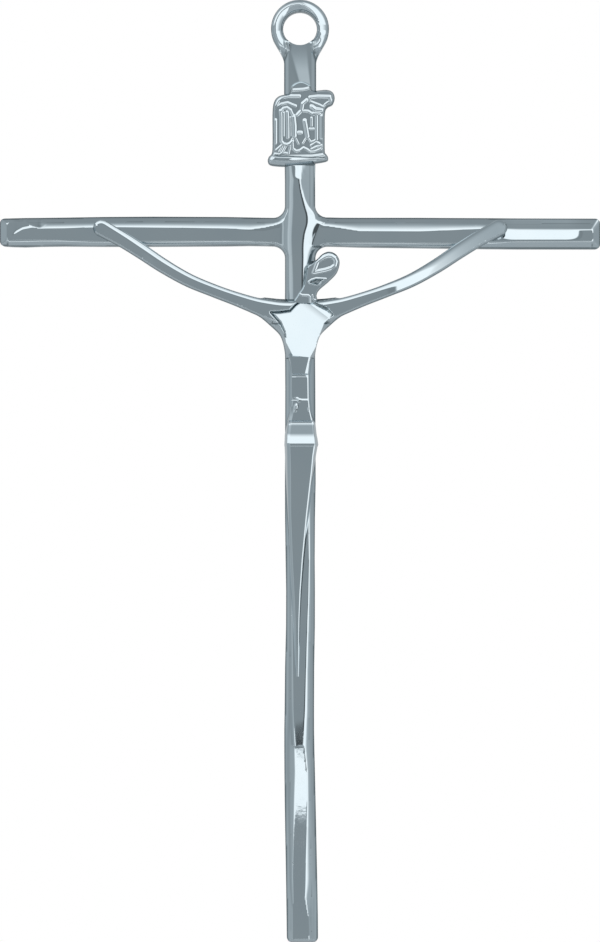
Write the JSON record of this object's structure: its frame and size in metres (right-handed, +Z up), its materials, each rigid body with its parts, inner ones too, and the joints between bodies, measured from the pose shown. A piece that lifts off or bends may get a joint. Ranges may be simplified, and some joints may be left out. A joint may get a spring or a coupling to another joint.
{
  "type": "hanging crucifix",
  "caption": "Slim bright-plated crucifix with a hanging eye, a scroll above the crossbar and a stylised faceless figure whose raised arms bridge free to the crossbar.",
  "frame": {"origin": "centre of the hanging eye's bore, midway between the back plane and the front land of the bars", "axes": "+X to the viewer's right, +Y towards the wall, +Z up along the upright; the front faces -Y"},
  "size_m": [0.204, 0.013, 0.3199],
  "materials": {
    "bright_casting": "hand-polished zinc casting with a bright, slightly cool plated finish",
    "screw_steel": "zinc-plated steel machine screws"
  },
  "bodies": {
    "root": {"cross_casting": "bright_casting", "corpus_casting": "bright_casting", "scroll_casting": "bright_casting", "scroll_screw_upper": "screw_steel", "scroll_screw_lower": "screw_steel", "torso_screw": "screw_steel", "leg_screw": "screw_steel", "left_hand_screw": "screw_steel", "right_hand_screw": "screw_steel"}
  },
  "joints": []
}
